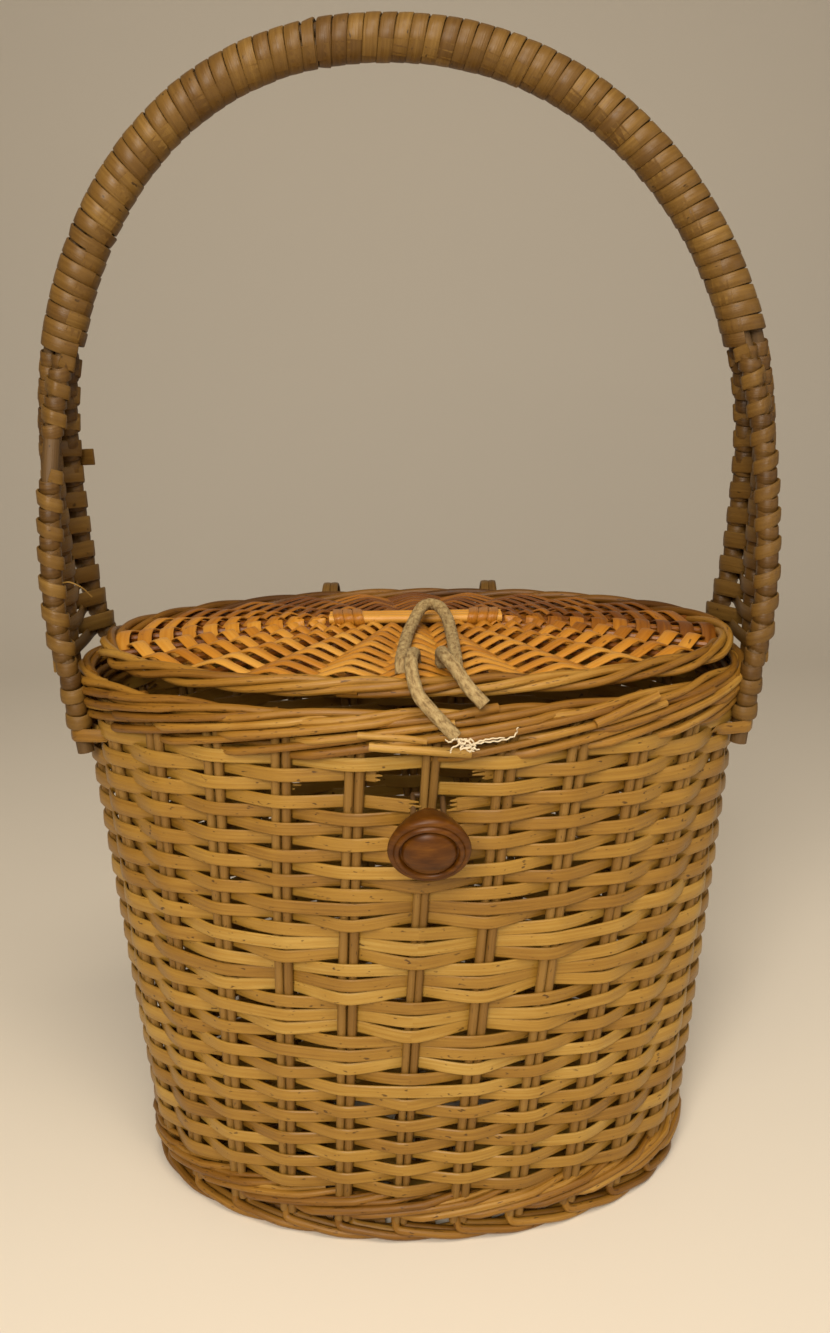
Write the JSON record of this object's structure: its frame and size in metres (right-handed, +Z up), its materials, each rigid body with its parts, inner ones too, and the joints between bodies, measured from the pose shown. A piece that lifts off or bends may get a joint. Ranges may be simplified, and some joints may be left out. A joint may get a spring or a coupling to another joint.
{
  "type": "wicker basket bag",
  "caption": "Oval tapered wicker basket bag with a hinged woven lid, a wrapped hoop handle on woven gussets, a wooden toggle knob and a torn closing cord.",
  "frame": {"origin": "middle of the oval on the floor under the foot", "axes": "+Z up, +X to the right seen from the front, front toward -Y"},
  "size_m": [0.2675, 0.193, 0.424],
  "materials": {
    "weave": "varnished flat cane, satin",
    "lid_weave": "varnished flat cane, satin, more orange",
    "rods": "varnished round rods, satin",
    "hoop": "round rods, satin",
    "wrap": "varnished flat cane, worn",
    "cane_tie": "split cane, matt",
    "knob": "turned wood, polished",
    "cord": "braided cord with darker specks"
  },
  "bodies": {
    "basket": {"base_panel": "weave", "foot_border": "rods", "base_wale": "rods", "wall_weave": "weave", "rim_wale": "rods", "rim_border": "rods", "handle_front_rod": "hoop", "handle_middle_rod": "hoop", "handle_rear_rod": "hoop", "handle_wrap": "wrap", "left_gusset": "wrap", "right_gusset": "wrap", "toggle_tie": "cane_tie"},
    "toggle": {"toggle_knob": "knob"},
    "lid": {"lid_panel": "lid_weave", "lid_border": "rods", "lid_spine": "wrap", "left_hinge_loop": "cane_tie", "right_hinge_loop": "cane_tie", "loop_left_end": "cord", "loop_right_end": "cord", "loop_arch": "cord"}
  },
  "joints": [
    {"name": "lid_hinge", "type": "hinge", "parent": "basket", "child": "lid", "pos_m": [0, 0.0799, 0.2072], "axis": [-1, 0, 0], "range_deg": [0, 110]},
    {"name": "toggle_lift", "type": "hinge", "parent": "basket", "child": "toggle", "pos_m": [0.00477, -0.08478, 0.17165], "axis": [-1, 0, 0], "range_deg": [0, 25]}
  ]
}
